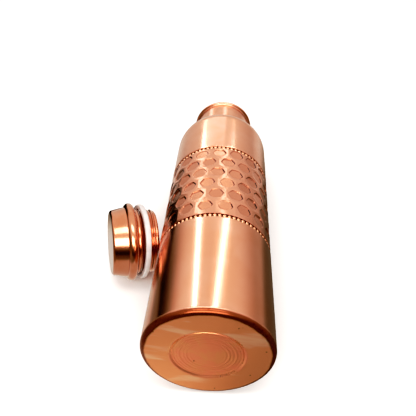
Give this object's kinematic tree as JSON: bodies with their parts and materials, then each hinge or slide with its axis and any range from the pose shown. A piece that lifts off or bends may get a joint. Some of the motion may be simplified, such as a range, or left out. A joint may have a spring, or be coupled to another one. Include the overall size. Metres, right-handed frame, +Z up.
{
  "type": "hammered copper water bottle with screw cap",
  "caption": "Round copper water bottle lying on its side: satin body, hammered middle band between beaded lines, flared neck; its polished screw cap lies beside it.",
  "frame": {"origin": "centre of the flat face the bottle stands on, which is on the bottle's axis", "axes": "+Y along the bottle's axis from its base to its mouth, +Z up as the bottle lies on its side, +X to the right; the cap lies on the -X side"},
  "size_m": [0.1155, 0.2435, 0.072],
  "materials": {
    "satin_copper": "satin, finely brushed round the body",
    "hammered_copper": "hammered, lacquered",
    "bead_copper": "polished, dark between the beads",
    "raw_copper": "matte, as pressed, with smears",
    "polished_copper": "polished",
    "silicone": "matte, milky white"
  },
  "bodies": {
    "bottle": {"base_disc": "raw_copper", "lower_shell": "satin_copper", "lower_bead_line": "bead_copper", "hammered_band": "hammered_copper", "upper_bead_line": "bead_copper", "upper_shell": "satin_copper", "neck_collar": "polished_copper", "neck_thread": "polished_copper"},
    "gasket": {"gasket": "silicone"},
    "cap": {"cap_cover": "polished_copper", "cap_spigot": "polished_copper", "cap_end_disc": "polished_copper"}
  },
  "joints": [
    {"name": "cap_swing", "type": "hinge", "parent": "bottle", "child": "gasket", "pos_m": [0.0318, 0.17267, -0.03484], "axis": [-0.3668, 0.1592, -0.9166], "range_deg": [0, 109.85]},
    {"name": "cap_turn", "type": "hinge", "parent": "gasket", "child": "cap", "pos_m": [-0.0724, 0.09, -0.0075], "axis": [0.9404, 0.3055, -0.1495], "continuous": true}
  ]
}
